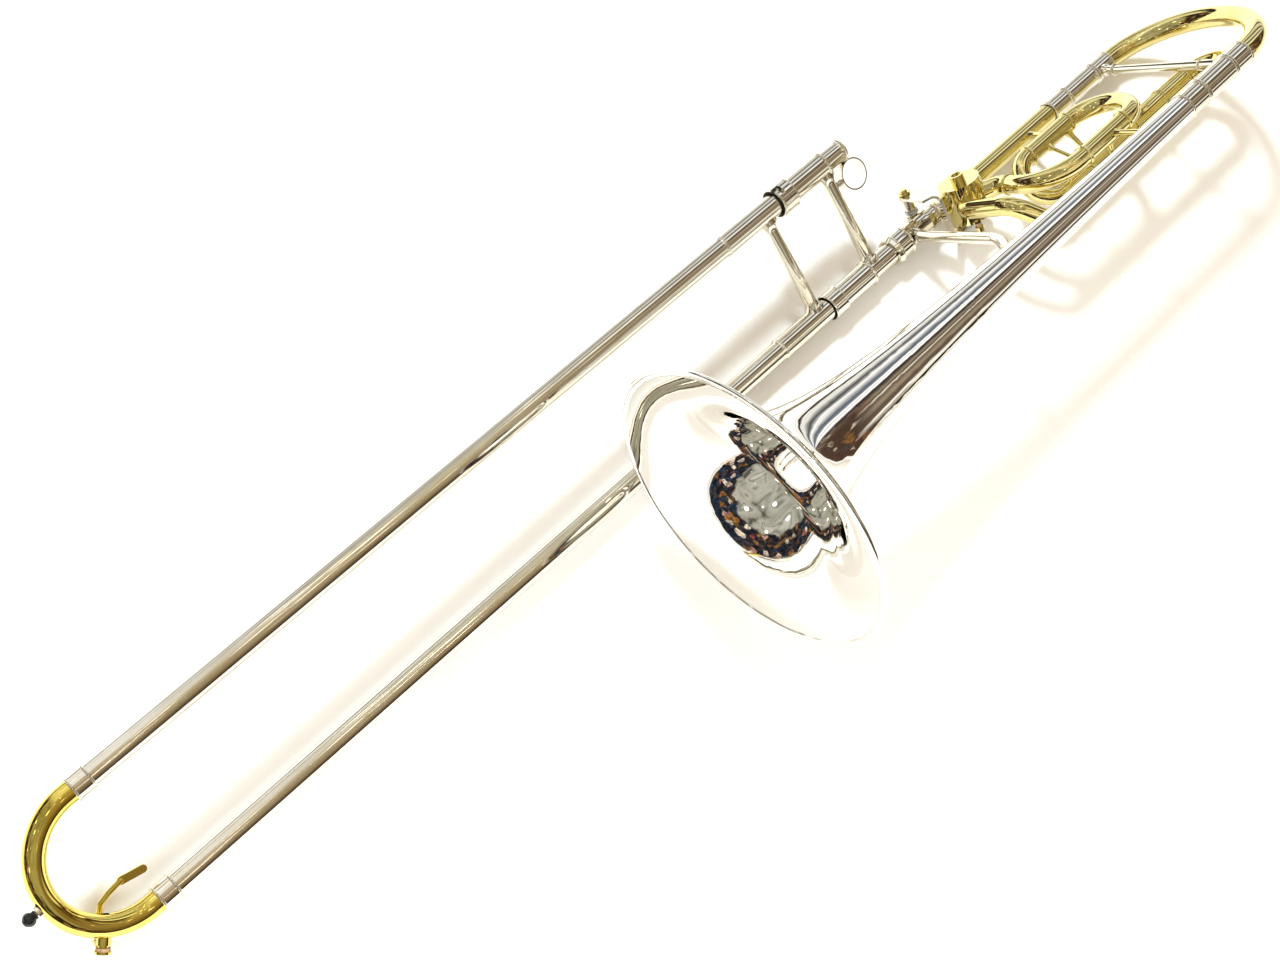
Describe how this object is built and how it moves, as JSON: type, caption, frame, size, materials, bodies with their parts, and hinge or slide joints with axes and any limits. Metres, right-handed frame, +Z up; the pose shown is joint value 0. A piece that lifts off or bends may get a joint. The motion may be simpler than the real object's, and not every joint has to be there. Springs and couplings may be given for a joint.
{
  "type": "trombone",
  "caption": "Tenor trombone with rotary F valve: silver bell, nickel silver hand slide with brass bow and water key, brass F loop, thumb lever and tuning slides.",
  "frame": {"origin": "centre of the bounding box in x and y, at the level of the surface the instrument lies on", "axes": "+X along the slide legs and the bell axis, towards the slide bow and the bell mouth; +Z up, lying at rest on bell rim and valve casing"},
  "size_m": [1.1132, 0.2792, 0.22],
  "materials": {
    "silver_bell": "bright silver plate, mirror polish",
    "nickel_silver": "polished nickel silver",
    "chromed_tube": "hard chrome, polished",
    "yellow_brass": "polished yellow brass under clear gold lacquer",
    "spring_steel": "bright drawn steel",
    "cork": "natural cork",
    "black_rubber": "matte black rubber"
  },
  "bodies": {
    "bell_section": {"bell_flare": "silver_bell", "bell_rim_wire": "silver_bell", "bell_stem": "silver_bell", "tuning_leg_ferrules": "nickel_silver", "tuning_slide_sleeves": "nickel_silver", "neck_leg_tube": "yellow_brass", "slide_socket": "nickel_silver", "neckpipe": "nickel_silver", "bell_brace": "nickel_silver", "valve_casing": "yellow_brass", "valve_knuckles": "yellow_brass", "rotor_bearing_plate": "yellow_brass", "valve_cap": "yellow_brass", "stop_corks": "cork", "lever_saddle": "nickel_silver", "lever_screw": "yellow_brass", "lever_spring": "spring_steel", "f_s_tube": "yellow_brass", "f_front_bow": "yellow_brass", "f_front_run": "yellow_brass", "f_left_bow": "yellow_brass", "f_back_run": "yellow_brass", "f_down_tube": "yellow_brass", "f_slide_sleeves": "yellow_brass", "f_rings": "yellow_brass", "f_braces": "yellow_brass"},
    "rotor": {"rotor": "yellow_brass", "stop_arm": "yellow_brass", "stop_arm_screw": "spring_steel"},
    "thumb_lever": {"thumb_lever": "nickel_silver"},
    "link_rod": {"link_rod": "spring_steel"},
    "main_tuning_slide": {"tuning_inner_legs": "nickel_silver", "tuning_bow_ferrules": "nickel_silver", "main_tuning_bow": "yellow_brass", "tuning_slide_brace": "nickel_silver"},
    "f_tuning_slide": {"f_slide_legs": "yellow_brass", "f_slide_ferrules": "yellow_brass", "f_slide_bow": "yellow_brass"},
    "neck_nut": {"neck_nut": "nickel_silver"},
    "inner_slide": {"inner_slide_tubes": "chromed_tube", "cork_barrels": "nickel_silver", "barrel_corks": "cork", "slide_tenon": "nickel_silver", "mouthpiece_receiver": "nickel_silver", "leadpipe": "yellow_brass", "inner_brace": "nickel_silver", "finger_ring": "nickel_silver"},
    "slide_lock": {"slide_lock": "nickel_silver"},
    "hand_slide": {"outer_slide_tubes": "nickel_silver", "grip_sleeves": "nickel_silver", "outer_brace": "nickel_silver", "bow_ferrules": "nickel_silver", "slide_bow": "yellow_brass", "bumper_cup": "nickel_silver", "rubber_bumper": "black_rubber", "water_nipple": "yellow_brass", "water_key_saddle": "yellow_brass", "water_key_spring": "spring_steel"},
    "water_key": {"water_key": "yellow_brass", "water_key_cork": "cork"}
  },
  "joints": [
    {"name": "slide_swivel", "type": "hinge", "parent": "bell_section", "child": "inner_slide", "pos_m": [-0.21411, -0.05558, 0.01244], "axis": [1, 0, 0], "range_deg": [-20, 20]},
    {"name": "neck_nut_turn", "type": "hinge", "parent": "inner_slide", "child": "neck_nut", "pos_m": [-0.21411, -0.05558, 0.01244], "axis": [1, 0, 0], "range_deg": [0, 360]},
    {"name": "hand_slide_move", "type": "slide", "parent": "inner_slide", "child": "hand_slide", "axis": [1, 0, 0], "range_m": [0, 0.58]},
    {"name": "slide_lock_turn", "type": "hinge", "parent": "inner_slide", "child": "slide_lock", "pos_m": [-0.14211, -0.12748, 0.06302], "axis": [1, 0, 0], "range_deg": [0, 25]},
    {"name": "main_tuning", "type": "slide", "parent": "bell_section", "child": "main_tuning_slide", "axis": [-1, 0, 0], "range_m": [0, 0.05]},
    {"name": "f_tuning", "type": "slide", "parent": "bell_section", "child": "f_tuning_slide", "axis": [-1, 0, 0], "range_m": [0, 0.045]},
    {"name": "trigger", "type": "hinge", "parent": "bell_section", "child": "thumb_lever", "pos_m": [-0.24211, -0.07262, 0.02334], "axis": [0, -0.7533, 0.6577], "range_deg": [0, 18], "stiffness_Nm_per_rad": 0.5, "springref_deg": -20.05},
    {"name": "rotor_turn", "type": "hinge", "parent": "bell_section", "child": "rotor", "pos_m": [-0.28111, -0.04675, 0.02256], "axis": [0, -0.7533, 0.6577], "range_deg": [-90, 0]},
    {"name": "link_pivot", "type": "hinge", "parent": "thumb_lever", "child": "link_rod", "pos_m": [-0.26636, -0.03328, 0.00758], "axis": [0, -0.7533, 0.6577], "range_deg": [-69.5, 0]},
    {"name": "water_key_press", "type": "hinge", "parent": "hand_slide", "child": "water_key", "pos_m": [0.52284, -0.06986, 0.01002], "axis": [-0.766, 0.5258, -0.3698], "range_deg": [0, 15], "stiffness_Nm_per_rad": 0.06, "springref_deg": -28.65}
  ],
  "couplings": [
    {"joint": "rotor_turn", "follows": "trigger", "ratio": -5},
    {"joint": "link_pivot", "follows": "trigger", "ratio": -3.857}
  ]
}
